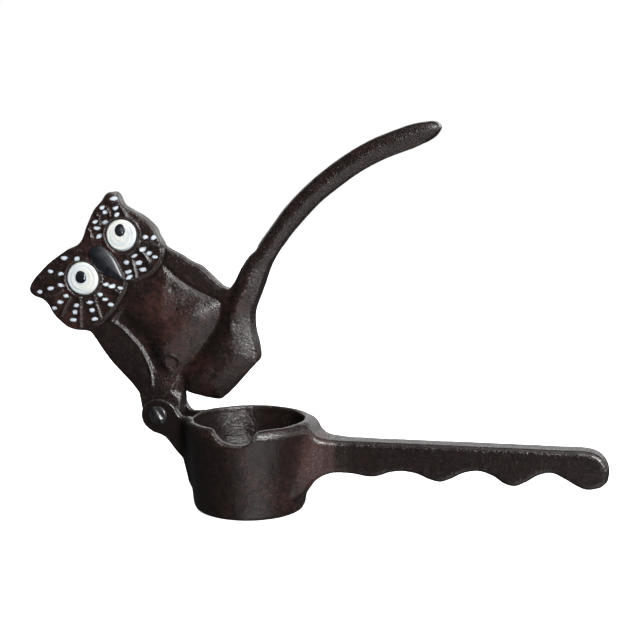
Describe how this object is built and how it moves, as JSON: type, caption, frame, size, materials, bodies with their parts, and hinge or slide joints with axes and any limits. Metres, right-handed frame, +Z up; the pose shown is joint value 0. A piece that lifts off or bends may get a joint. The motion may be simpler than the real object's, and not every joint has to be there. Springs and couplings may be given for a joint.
{
  "type": "lever nutcracker press",
  "caption": "Cast-iron nutcracker: an owl-shaped lever hinged to a small cup with a wavy finger-grip handle.",
  "frame": {"origin": "centre of the cup's foot, on the table", "axes": "+Z up along the cup's axis, +X along the handle, the owl's face looks towards -Y"},
  "size_m": [0.2137, 0.049, 0.1416],
  "materials": {
    "casting_iron": "dark brown-black semi-gloss coat on pebbly cast iron",
    "rivet_steel": "blackened steel, worn",
    "white_enamel": "brushed gloss enamel",
    "black_enamel": "gloss enamel"
  },
  "bodies": {
    "base": {"cup_handle_casting": "casting_iron", "hinge_rivet": "rivet_steel"},
    "lever": {"owl_lever_casting": "casting_iron", "eye_whites": "white_enamel", "pupils": "black_enamel", "beak_enamel": "black_enamel"}
  },
  "joints": [
    {"name": "lever_hinge", "type": "hinge", "parent": "base", "child": "lever", "pos_m": [-0.0327, 0, 0.0342], "axis": [0, 1, 0], "range_deg": [-30, 47]}
  ]
}
